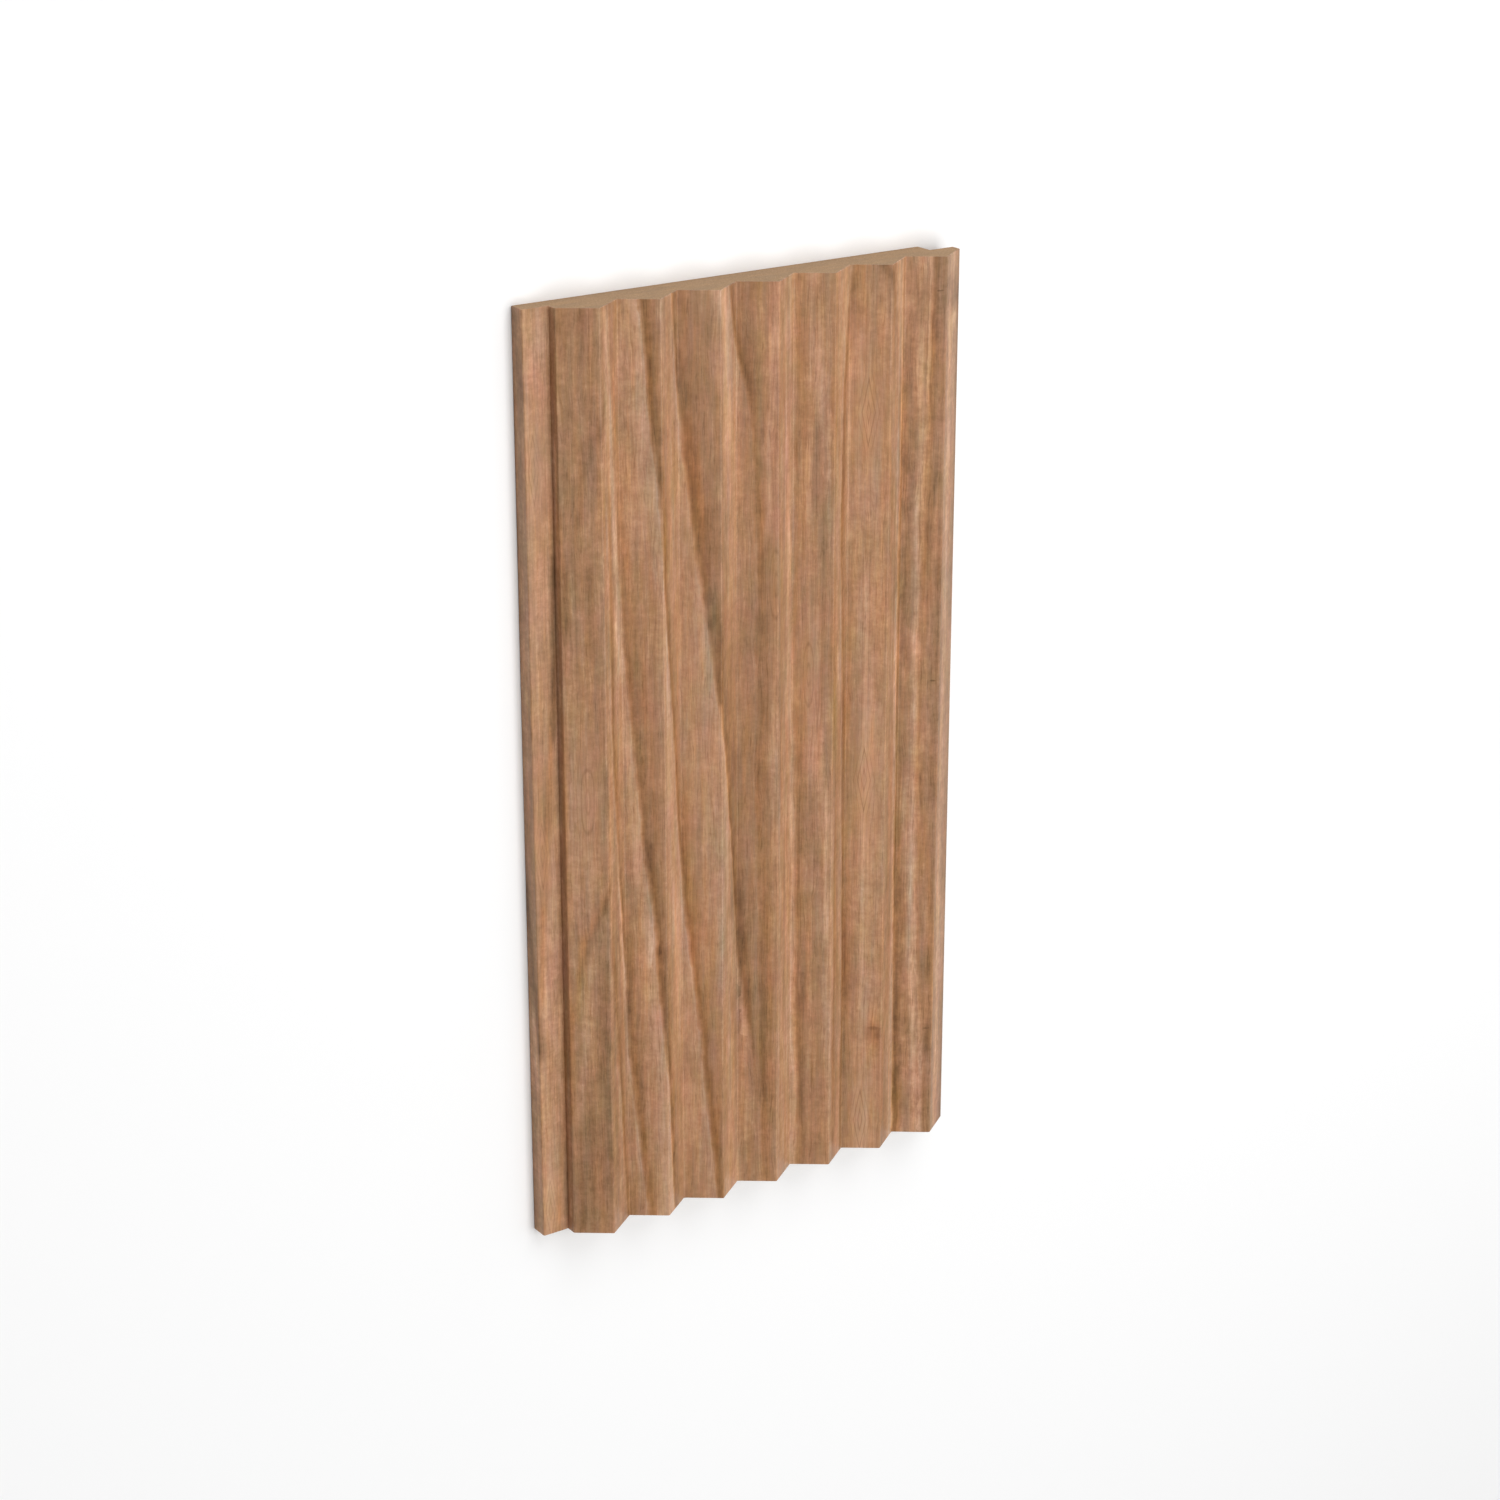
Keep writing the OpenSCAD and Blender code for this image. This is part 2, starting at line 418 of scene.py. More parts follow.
# %% Strokes: from (across, down) to (across, down), half width, tone
STROKES = (
    # the left edge and the tongue
    (1, 0, 6, 34, 3, -0.35), (0.5, 262, 9, 335, 2.2, -0.55), (2, 318, 5, 345, 3, 0.2),
    (20.7, 110, 18.5, 190, 1.3, -0.5), (16.5, 210, 15.5, 230, 1.5, -0.2),
    (14, 220, 9.5, 300, 1.5, -0.15), (19, 235, 12, 330, 3, 0.12), (12, 350, 12, 420, 3, 0.1),
    (23.5, 60, 23.5, 110, 1.5, 0.3), (23.5, 110, 23.5, 170, 1.5, 0.15),
    (23.3, 357, 23.3, 420, 1.2, 0.35), (26.5, 320, 26.5, 425, 0.8, -0.3),
    # the first ridge
    (37, 0, 37, 20, 2, -0.2), (34, 76, 40, 62, 2, -0.2), (36, 82, 33, 95, 2, -0.2),
    (44, 51, 47, 45, 1.8, -0.3), (28, 115, 28, 140, 1.5, -0.3), (38.5, 115, 38.5, 150, 1.5, -0.25),
    (44.5, 205, 44.5, 222, 1, -0.35), (45.5, 260, 43, 266, 1.3, -0.4), (42.5, 268, 38, 278, 1.3, -0.3),
    (37, 280, 32, 298, 1.8, -0.25), (57.5, 283, 60, 286, 1.3, -0.4), (38, 252, 38, 260, 2, 0.15),
    (29, 210, 29, 300, 1.5, 0.12), (36, 300, 28, 390, 2, 0.15), (42, 300, 44, 400, 4, -0.25),
    (36, 350, 34, 420, 3, -0.2), (50, 300, 50, 335, 2.5, -0.25), (29, 380, 30, 425, 2, -0.3),
    (52.5, 120, 52.5, 200, 1.5, -0.15),
    # beside the slanting lines
    (51, 10, 53.5, 50, 2.5, 0.3), (53, 65, 57, 110, 3, 0.25), (57, 135, 60, 158, 3.2, 0.3),
    (63, 190, 68, 260, 2, 0.15), (73, 282, 73.8, 298, 1.5, 0.25), (56, 260, 61, 320, 1.5, 0.2),
    (84, 155, 86, 220, 2.5, 0.15), (93, 280, 97, 320, 3, 0.12), (103, 295, 105, 320, 1.5, 0.15),
    (103, 370, 106, 420, 1.5, 0.15), (121, 5, 127, 55, 4, 0.2), (128, 60, 131, 130, 5, 0.1),
    (119, 190, 123, 260, 2.5, 0.12), (133, 155, 134, 215, 4, -0.1), (139, 0, 142, 40, 5, -0.2),
    (88, 262, 93, 330, 4, 0.12), (138, 352, 142, 400, 2.5, 0.2), (122, 260, 130, 320, 3, 0.1),
    (129, 300, 135, 335, 2.5, 0.15),
    # the straight half
    (152, 20, 149.5, 110, 1.5, 0.2), (152, 185, 152, 240, 1.5, 0.15), (157, 240, 157, 400, 1.5, 0.2),
    (147, 330, 147, 380, 2, -0.2), (163.5, 20, 163.5, 110, 2, 0.1), (168, 85, 168, 170, 2, 0.15),
    (168, 118, 168, 132, 2, 0.15), (163.5, 190, 163.5, 245, 1.8, 0.1),
    (171.5, 245, 171.5, 262, 1.5, 0.25), (179, 80, 179, 110, 1.5, 0.2), (184, 30, 184, 60, 2, 0.12),
    (183.5, 70, 183, 100, 1.5, -0.25), (186.3, 105, 186.6, 205, 0.9, -0.25),
    (188.5, 240, 188.8, 310, 0.9, 0.35), (178, 330, 177.5, 400, 2, -0.2), (200, 15, 200, 30, 2.5, 0.12),
    (198, 178, 199, 195, 1.5, 0.25), (203, 275, 203, 325, 2.5, 0.1), (206.5, 200, 207, 245, 1.8, -0.2),
    (208.5, 310, 209, 345, 2, -0.25), (209, 0, 212, 20, 3, -0.2), (208, 40, 208, 130, 2.5, 0.12),
    (224, 0, 229, 5, 2.2, -0.5), (222, 368, 226, 368.5, 1.3, -0.4),
    (226.3, 368, 226.5, 374, 0.9, -0.25), (238.5, 0, 238.5, 130, 1.8, 0.15),
    (240, 155, 240, 230, 1.8, 0.2), (240, 240, 241, 420, 1.8, 0.12), (246, 145, 246, 165, 2.5, -0.12),
    (245, 262, 245, 285, 2, -0.2), (246.8, 345, 247, 429, 1.3, -0.25),
    (253.5, 35, 253.5, 115, 1.5, 0.2), (252.5, 115, 252.5, 240, 1.2, 0.15),
    (252.5, 250, 252.8, 330, 1.8, 0.25), (254, 340, 257, 425, 2, 0.2),
    (261.5, 338, 261.5, 343, 1.3, -0.4), (262, 376, 262, 384, 1.3, -0.4),
    (261.5, 98, 261.5, 102, 1.5, -0.25), (265, 14, 282, 14, 2, -0.3), (272, 20, 281, 22, 1.5, -0.4),
    (273, 29, 277, 29, 1.5, 0.25), (267, 30, 271, 45, 1.5, 0.15), (268, 280, 274, 400, 2.5, 0.12),
    (281.5, 20, 281.5, 130, 1.5, -0.25), (278, 255, 278, 300, 3, -0.15),
)


def stroke(u, v, from_u, from_v, to_u, to_v, half_width, tone):
    """One soft stroke: tone * exp(-(aside / half width)^2 - (past the ends / 3 half widths)^2)."""
    reach = np.array([to_u - from_u, to_v - from_v])
    share = np.clip(((u - from_u) * reach[0] + (v - from_v) * reach[1]) / (reach @ reach), 0, 1)
    off_u = (u - from_u - share * reach[0]) / half_width
    off_v = (v - from_v - share * reach[1]) / (3 * half_width)
    return tone * np.exp(-off_u ** 2 - off_v ** 2)


def drawn(strokes):
    """All the strokes of a list added up, at every point of the sheet."""
    return sum(stroke(across_mm, down_mm, *marks) for marks in strokes)


wood_tone = band_tone + drawn(STROKES)
print("strokes of tone: %d" % len(STROKES))

# %% [markdown]
# The hue has its strokes too. Warm ones are amber: resin beside the growth lines, the rim of the
# arch, the knots. Cool ones are the grey-brown wood between. Pink and olive patches come from the
# heartwood's colour, which soaks unevenly into the tree. The same strokes draw them, on two more
# attributes.

# %% Strokes of hue: from (across, down) to (across, down), half width, warmth or pinkness
WARM_STROKES = (
    (21, 150, 12, 270, 1.5, 3), (12, 270, 10, 310, 1.5, 3), (22, 340, 17, 420, 1.5, 3),
    (22.5, 40, 22.5, 320, 1, -2), (26, 180, 26, 370, 1.2, 2.5), (45, 260, 33, 285, 1.5, 3),
    (33, 285, 28, 320, 1.5, 3), (28, 320, 26, 370, 1.5, 2.5), (58, 30, 65, 115, 2, 2),
    (54, 40, 54, 120, 1.2, -2), (59, 125, 60, 160, 2, -2.5), (74, 270, 74, 300, 1.5, -3),
    (104, 60, 110, 105, 2.5, 3.5), (93, 20, 98, 60, 2, -2), (112, 140, 113, 190, 2.5, -2.5),
    (128, 0, 128, 35, 3, -2.5), (119, 240, 120, 320, 4, -2), (155.5, 120, 157, 420, 1.2, -2.5),
    (150, 255, 152, 370, 3, 2), (203, 180, 203, 220, 2, -1.5), (203, 270, 203, 290, 2, -2),
    (208, 200, 210, 340, 2, 1.5), (224, 362, 224, 370, 3, 5), (226, 20, 226, 420, 3, 1),
    (239.5, 0, 239.5, 250, 1.3, -2.5), (244.5, 40, 244.5, 190, 1.8, 2),
    (252.5, 80, 252.5, 340, 1.3, -2.5), (258, 40, 258, 200, 3, 1.5), (259, 270, 259, 285, 3, 2),
    (262, 300, 262, 380, 1.5, 2.5),
)
PINK_STROKES = (
    (152, 0, 153, 105, 3, 3.5), (163, 60, 163, 110, 5, 2.5), (145.5, 0, 145.5, 110, 1.2, -3),
    (25.5, 0, 25.5, 100, 1.2, -2.5), (57, 10, 57, 25, 2, 3), (60, 50, 60, 56, 2, -2.5),
    (16, 20, 16, 60, 4, 1.5), (73, 75, 74, 95, 4, 1.3), (126, 75, 126, 92, 4, 2.5),
    (85, 95, 85, 120, 3, -1.5), (115, 145, 116, 150, 2.5, -3), (102, 130, 108, 135, 4, 1.5),
    (31, 112, 31, 122, 3, -1.8), (69, 120, 69, 160, 2, -1.5), (122, 170, 130, 160, 4, -1.8),
    (158, 125, 158, 135, 3, -2.5), (173.5, 135, 173.5, 155, 1.5, -2.2),
    (188.5, 110, 188.5, 125, 3, -1.5), (193, 195, 194, 215, 3.5, -3), (183, 190, 183, 220, 3.5, 3),
    (38, 195, 37, 225, 3.5, 2), (16, 200, 15, 220, 3, -1.8), (115, 205, 115, 220, 4, 1.3),
    (212, 245, 209, 275, 3, -3), (234, 245, 234, 255, 3, 2), (245, 225, 246, 250, 3, -1.8),
    (246, 265, 246, 275, 2.5, -3.5), (254, 270, 254, 278, 2, 3), (247, 175, 247, 195, 2.5, 2.5),
    (257, 175, 257, 200, 1.8, -2.5), (132, 242, 143, 248, 4, -2), (103, 260, 104, 285, 2, -3),
    (95, 285, 96, 295, 4, 2.2), (20, 285, 20, 300, 5, 1.8), (31, 290, 31, 315, 2.5, -3.2),
    (23.5, 310, 23, 345, 1.5, -3), (141, 310, 144, 345, 2.5, -3.2), (146, 355, 148, 375, 1.5, -2.5),
    (76, 335, 76, 380, 3.5, 2.5), (37, 345, 40, 350, 5, -1.6), (46, 375, 46, 380, 4, -2.2),
    (86.5, 368, 86.5, 378, 2.5, -3), (244, 155, 250, 155, 5, -1.5), (258, 400, 258, 415, 4, 3.5),
    (247, 400, 247, 420, 1.8, -3.5), (195, 395, 195, 420, 2.5, 2.5), (275, 410, 278, 420, 5, 2.5),
    (60, 240, 60, 245, 3, -1.8), (80, 235, 95, 240, 6, 1.2), (222, 368, 226, 368, 2, 3.5),
)

carried = {
    "growth_count": growth_count, "growth_darkness": growth_darkness, "growth_fade": growth_fade,
    "growth_gap": growth_gap, "wood_tone": wood_tone, "wood_warmth": drawn(WARM_STROKES),
    "wood_pinkness": drawn(PINK_STROKES), "streak_strength": streak_strength,
    "mottle_strength": mottle_strength,
}
for name, values in carried.items():
    layer = sheet_mesh.attributes.new(name, "FLOAT", "POINT")
    layer.data.foreach_set("value", values.astype(np.float32).ravel())
    print("%s: from %.2f to %.2f" % (name, values.min(), values.max()))

# %% [markdown]
# ## The board
#
# Under the veneer is one piece of fibreboard. Its section is the glue line, closed by the rebate
# under the lip and the flat back. The solid has this shape too, but with edges as sharp as a
# drawing. On a real board the back's edges and the rebate's are broken by handling and by the
# cutter, so each free corner here is cut across by a fraction of a millimetre. A Bevel modifier
# would also round the corners that touch the veneer and open a gap there.

# %% The board's section
BROKEN_EDGE = 0.3 * MM
BROKEN_BY_VENEER = BROKEN_EDGE / 2


def break_corner(before, corner, after, size):
    """Two points in place of a corner, each at a distance of size from it along its two sides."""
    before, corner, after = (np.array(p, float) for p in (before, corner, after))
    sides = np.array([before - corner, after - corner])
    return corner + size * sides / np.linalg.norm(sides, axis=1)[:, None]


back_left = (left + VENEER_T, 0.0)
back_right = (REBATE_X, 0.0)
rebate_corner = (REBATE_X, REBATE_H)
veneer_foot = tuple(glue[0])
section = np.vstack([
    glue,
    [rebate_corner],
    break_corner(rebate_corner, back_right, back_left, BROKEN_EDGE),
    break_corner(back_right, back_left, veneer_foot, BROKEN_BY_VENEER),
])
board_along = np.array([bottom, top])
board_points = np.stack([
    np.broadcast_to(section[:, 0], (2, len(section))),
    np.broadcast_to(board_along[:, None], (2, len(section))),
    np.broadcast_to(section[:, 1], (2, len(section))),
], -1)
lower_end = np.arange(len(section))[None, ::-1]
upper_end = len(section) + np.arange(len(section))[None]
board_mesh = make_mesh("fibreboard", board_points.reshape(-1, 3),
                       [ring_quads(2, len(section)), lower_end, upper_end])
add_piece("fibreboard", board_mesh, "fibreboard_core")

# %% [markdown]
# ## Node helpers
#
# A material is easier to read as a list of statements than as a web of wires. `add` makes a node,
# sets its options, and fills each input with a number or with another node's output. `calc` does
# one step of arithmetic, and `vector` the same for three numbers at a time. `remap` moves a number
# from one range to another, and `weigh` adds up a list of effects, each as strong as its weight.

# %% Node helpers


def add(tree, kind, inputs=None, **options):
    """A new node. Options set its properties; inputs are numbers, colours or sockets to link."""
    made = tree.nodes.new(kind)
    for name, value in options.items():
        setattr(made, name, value)
    for name, value in (inputs or {}).items():
        if isinstance(value, bpy.types.NodeSocket):
            tree.links.new(value, made.inputs[name])
        else:
            made.inputs[name].default_value = value
    return made


def calc(tree, operation, *values, clamp=False):
    """One step of arithmetic on numbers or sockets."""
    inputs = dict(enumerate(values))
    return add(tree, "ShaderNodeMath", inputs, operation=operation, use_clamp=clamp).outputs[0]


def vector(tree, operation, one, other):
    """One step of arithmetic on vectors. SCALE takes a single number as its other value."""
    inputs = {0: one, "Scale" if operation == "SCALE" else 1: other}
    return add(tree, "ShaderNodeVectorMath", inputs, operation=operation).outputs[0]


def remap(tree, value, from_range, to_range=(0.0, 1.0), curve="LINEAR"):
    """A number moved from one range to another, along a straight line or another curve."""
    sockets = ("Value", "From Min", "From Max", "To Min", "To Max")
    inputs = dict(zip(sockets, (value, *from_range, *to_range)))
    return add(tree, "ShaderNodeMapRange", inputs, interpolation_type=curve, clamp=True).outputs[0]


def weigh(tree, total, *effects):
    """A total with effects added to it one by one, each as value * weight."""
    for value, weight in effects:
        total = calc(tree, "MULTIPLY_ADD", value, weight, total)
    return total


def ramp(tree, factor, stops):
    """A colour ramp with the given (place, colour) stops."""
    made = add(tree, "ShaderNodeValToRGB", {0: factor})
    elements = made.color_ramp.elements
    while len(elements) < len(stops):
        elements.new(0.5)
    for element, (place, colour) in zip(elements, stops):
        element.position = place
        element.color = (*colour, 1)
    return made.outputs["Color"]


def srgb(red, green, blue):
    """A colour as a paint chart gives it, 0 to 255, turned into the linear light that shaders use."""
    share = np.array([red, green, blue]) / 255
    return tuple(np.where(share <= 0.04045, share / 12.92, ((share + 0.055) / 1.055) ** 2.4))


def new_material(name):
    """An empty material with its output and one Principled shader."""
    material = bpy.data.materials.new(name)
    material.use_nodes = True
    tree = material.node_tree
    tree.nodes.clear()
    shader = add(tree, "ShaderNodeBsdfPrincipled")
    add(tree, "ShaderNodeOutputMaterial", {"Surface": shader.outputs["BSDF"]})
    return material, tree, shader


# %% [markdown]
# ## A shared effect: drawn-out speckle
#
# Wood and fibreboard are both made of wood fibres. What tells them apart is how long the fibres lie
# undisturbed: tens of millimetres in a veneer, a fraction of a millimetre in ground and pressed
# board. So both materials use the same node group: noise whose spots have a given size in each
# direction. The position comes in millimetres and is divided by that size.

# %% Node group: drawn-out speckle
SEED_STEP = (17.3, 9.1, 31.7)
NOISE_RANGE = (0.25, 0.75)


def new_group(name, inputs, outputs):
    """An empty shader node group with named sockets, and the sockets inside it."""
    group = bpy.data.node_groups.new(name, "ShaderNodeTree")
    for way, sockets in (("INPUT", inputs), ("OUTPUT", outputs)):
        for socket_name, kind, default in sockets:
            socket = group.interface.new_socket(socket_name, in_out=way, socket_type="NodeSocket" + kind)
            if default is not None:
                socket.default_value = default
    return group, add(group, "NodeGroupInput").outputs


speckle_group, given = new_group(
    "Drawn-out speckle",
    (("Position", "Vector", None), ("Size", "Vector", (1, 1, 1)), ("Seed", "Float", 0.0),
     ("Detail", "Float", 2.0), ("Roughness", "Float", 0.55)),
    (("Value", "Float", None),))
scaled = vector(speckle_group, "DIVIDE", given["Position"], given["Size"])
elsewhere = vector(speckle_group, "SCALE", SEED_STEP, given["Seed"])
shifted = vector(speckle_group, "ADD", scaled, elsewhere)
noise = add(speckle_group, "ShaderNodeTexNoise",
            {"Vector": shifted, "Scale": 1.0, "Detail": given["Detail"], "Roughness": given["Roughness"]})
spread = remap(speckle_group, noise.outputs[0], NOISE_RANGE, (-1.0, 1.0))
add(speckle_group, "NodeGroupOutput", {"Value": spread})


def speckle(tree, position, size, seed, detail=2.0, roughness=0.55):
    """Places the group: a value from -1 to 1 in spots of the given size in millimetres."""
    return add(tree, "ShaderNodeGroup", {"Position": position, "Size": size, "Seed": seed,
                                         "Detail": detail, "Roughness": roughness},
               node_tree=speckle_group).outputs["Value"]


print("speckle: %d nodes" % len(speckle_group.nodes))

# %% [markdown]
# ## A shared effect: drifting hue
#
# No two fibres have quite the same colour. Both materials are browns that lean to amber in one
# place, to pink or to olive in another. The group multiplies a colour by one that is nearly white:
# warmth adds red and takes blue away, and pinkness adds red and blue.

# %% Node group: drifting hue
WARM = (0.03, 0.0, -0.042)
PINK = (0.018, 0.0, 0.024)
hue_group, given = new_group(
    "Drifting hue",
    (("Colour", "Color", (1, 1, 1, 1)), ("Warmth", "Float", 0.0), ("Pinkness", "Float", 0.0)),
    (("Colour", "Color", None),))
warmed = vector(hue_group, "SCALE", WARM, given["Warmth"])
pinked = vector(hue_group, "SCALE", PINK, given["Pinkness"])
both = vector(hue_group, "ADD", warmed, pinked)
nearly_white = vector(hue_group, "ADD", both, (1, 1, 1))
tinted = vector(hue_group, "MULTIPLY", given["Colour"], nearly_white)
add(hue_group, "NodeGroupOutput", {"Colour": tinted})
print("hue: one step of warmth is %s, one of pinkness %s" % (WARM, PINK))


def drifting_hue(tree, colour, warmth, pinkness):
    """Places the group on a colour."""
    return add(tree, "ShaderNodeGroup", {"Colour": colour, "Warmth": warmth, "Pinkness": pinkness},
               node_tree=hue_group).outputs["Colour"]


# %% [markdown]
# ## The veneer's finish
#
# The colour is built up as one tone, the way a polisher sees it, and only turned into browns at the
# end. Going from large to small: the stored bands and spots, the growth lines, clouds and streaks,
# soft cross-ripples where the grain rises and dips, fine grain, and pores as short dark dashes.

# %% Veneer: where a point is on the flat sheet
veneer, tree, shader = new_material("wood veneer, satin")
flat = add(tree, "ShaderNodeUVMap", uv_map="unrolled").outputs["UV"]
flat_mm = vector(tree, "SCALE", flat, 1 / MM)
stored = {name: add(tree, "ShaderNodeAttribute", attribute_name=name).outputs["Fac"] for name in carried}
print("values read from the sheet: %d" % len(stored))

# %% [markdown]
# A growth line is never ruled. A slow wander and a quick one, where the cut crosses the ripples,
# move its edge by a millimetre or so. Past the edge the dark wood fades as two exponentials, a short
# one and one three times as long, and just before the next edge the wood is at its palest.

# %% Veneer: growth lines
WANDERS = 1.0
SERRATED = 0.5
EDGE_WIDTH = 3.0
PALE_WIDTH = 5.0
WARM_WIDTH = 2.6
WARM_AT_MOST = 1.3
LONG_FADE = 3.0
LONG_SHARE = 0.05
PATCHY = (0.6, 1.4)


def fading(distance, length):
    """exp(-distance / length), as a node."""
    return calc(tree, "EXPONENT", calc(tree, "DIVIDE", calc(tree, "MULTIPLY", distance, -1.0), length))


wander = speckle(tree, flat_mm, (9, 42, 1), 1.0, 3.0, 0.6)
serration = speckle(tree, flat_mm, (8, 7, 1), 2.0, 2.0)
moved = calc(tree, "ADD", calc(tree, "MULTIPLY", wander, WANDERS),
             calc(tree, "MULTIPLY", serration, SERRATED))
count = calc(tree, "ADD", stored["growth_count"], calc(tree, "DIVIDE", moved, stored["growth_gap"]))
since = calc(tree, "MULTIPLY", calc(tree, "FRACT", count), stored["growth_gap"])
until = calc(tree, "SUBTRACT", stored["growth_gap"], since)
rise = remap(tree, since, (0.0, EDGE_WIDTH), curve="SMOOTHSTEP")
short_fade = fading(since, stored["growth_fade"])
long_fade = fading(since, calc(tree, "MULTIPLY", stored["growth_fade"], LONG_FADE))
fade = calc(tree, "MULTIPLY_ADD", short_fade, 1 - LONG_SHARE,
            calc(tree, "MULTIPLY", long_fade, LONG_SHARE))
patchy = remap(tree, speckle(tree, flat_mm, (5, 12, 1), 3.0), (-1.0, 1.0), PATCHY)
dark = calc(tree, "MULTIPLY", calc(tree, "MULTIPLY", rise, fade),
            calc(tree, "MULTIPLY", patchy, stored["growth_darkness"]))
pale = calc(tree, "MULTIPLY", fading(until, PALE_WIDTH), stored["growth_darkness"])
line_weight = calc(tree, "MINIMUM", stored["growth_darkness"], WARM_AT_MOST)
warm_edge = calc(tree, "MULTIPLY", calc(tree, "MULTIPLY", rise, fading(since, WARM_WIDTH)), line_weight)
print("with growth lines: %d nodes" % len(tree.nodes))

# %% [markdown]
# Streaks, grain and pores follow the fibres, and fibres wander as the growth lines do. So these
# three are read at a place that the same slow wander has moved aside. Clouds, mottle and flecks
# are light playing on fibres that rise and dip, and are read where they are.

# %% Veneer: clouds, streaks, ripples, grain and pores
FIBRES_WANDER = 1.2
sway = add(tree, "ShaderNodeCombineXYZ", {"X": calc(tree, "MULTIPLY", wander, FIBRES_WANDER)}).outputs[0]
grain_mm = vector(tree, "ADD", flat_mm, sway)
cloud = speckle(tree, flat_mm, (8, 34, 1), 4.0, 5.0, 0.62)
streak = speckle(tree, grain_mm, (2.6, 130, 1), 5.0, 4.0, 0.68)
mottle = speckle(tree, flat_mm, (4.5, 10, 1), 11.0, 5.0, 0.65)
fleck = speckle(tree, flat_mm, (2.6, 2.2, 1), 12.0, 3.0, 0.65)
ripple = speckle(tree, flat_mm, (13, 5, 1), 6.0, 3.0)
grain = speckle(tree, grain_mm, (0.7, 26, 1), 7.0, 3.0)
pores = remap(tree, speckle(tree, grain_mm, (0.6, 8, 1), 8.0, 1.0), (0.35, 0.85), curve="SMOOTHSTEP")
print("with clouds, streaks and pores: %d nodes" % len(tree.nodes))

# %% [markdown]
# Here and there the knife ran along the crown of a growth ring, and the sheet shows a row of lenses:
# fine dark outlines one inside the other, clearest half way out, and repeated along the sheet.
# One number, the level, draws them all. It is the distance from the row's axis over the half width,
# added to the distance from a lens's middle over its half length, which goes no higher than 1.
# Added plainly they make a diamond. Added as powers, like the two sides of a right angle, they make
# it rounder. A wave of the level then draws the outlines, as level lines do on a map.

# %% Node group: lens figure
FIRST_RING = 0.3
RING_EVERY = 0.55
RING_SHARPNESS = 3.0
BETWEEN_RINGS = 0.25
CLEAREST_RING = 0.8
RINGS_FADE = 0.75
TIP_WIDTH = 0.15
TIPS_CLEARER = 0.8
CALM_WIDTH = 2.0
CALM_LENGTH = 1.6


def peak(tree, value, place, width):
    """exp(-((value - place) / width)^2), as nodes."""
    off = calc(tree, "DIVIDE", calc(tree, "SUBTRACT", value, place), width)
    return calc(tree, "EXPONENT", calc(tree, "MULTIPLY", calc(tree, "MULTIPLY", off, off), -1.0))


lens_group, given = new_group(
    "Lens figure",
    (("Position", "Vector", None), ("Axis", "Float", 0.0), ("Middle", "Float", 0.0),
     ("Half width", "Float", 3.5), ("Half length", "Float", 18.0), ("Every", "Float", 174.0),
     ("Roundness", "Float", 1.0), ("Wander", "Float", 0.0)),
    (("Lines", "Float", None), ("Calm", "Float", None)))
point = add(lens_group, "ShaderNodeSeparateXYZ", {0: given["Position"]}).outputs
from_axis = calc(lens_group, "ABSOLUTE", calc(lens_group, "SUBTRACT", point["X"], given["Axis"]))
off_axis = calc(lens_group, "DIVIDE", from_axis, given["Half width"])
from_middle = calc(lens_group, "PINGPONG", calc(lens_group, "SUBTRACT", point["Y"], given["Middle"]),
                   calc(lens_group, "MULTIPLY", given["Every"], 0.5))
past = calc(lens_group, "DIVIDE", from_middle, given["Half length"])
powers = calc(lens_group, "ADD", calc(lens_group, "POWER", off_axis, given["Roundness"]),
              calc(lens_group, "POWER", calc(lens_group, "MINIMUM", past, 1.0), given["Roundness"]))
level = calc(lens_group, "ADD", given["Wander"],
             calc(lens_group, "POWER", powers, calc(lens_group, "DIVIDE", 1.0, given["Roundness"])))
from_ring = calc(lens_group, "SUBTRACT", level, FIRST_RING)
wave = calc(lens_group, "COSINE", calc(lens_group, "MULTIPLY", from_ring, 2 * np.pi / RING_EVERY))
outlines = calc(lens_group, "POWER", calc(lens_group, "MAXIMUM", wave, 0.0), RING_SHARPNESS)
tips = calc(lens_group, "MULTIPLY_ADD", peak(lens_group, off_axis, 0.0, TIP_WIDTH), TIPS_CLEARER, 1.0)
faded = calc(lens_group, "MULTIPLY", peak(lens_group, level, CLEAREST_RING, RINGS_FADE), tips)
lens_lines = calc(lens_group, "MULTIPLY", calc(lens_group, "SUBTRACT", BETWEEN_RINGS, outlines), faded)
calmed = calc(lens_group, "MULTIPLY", peak(lens_group, off_axis, 0.0, CALM_WIDTH),
              peak(lens_group, past, 0.0, CALM_LENGTH))
add(lens_group, "NodeGroupOutput", {"Lines": lens_lines, "Calm": calmed})
print("lens figure: %d nodes" % len(lens_group.nodes))

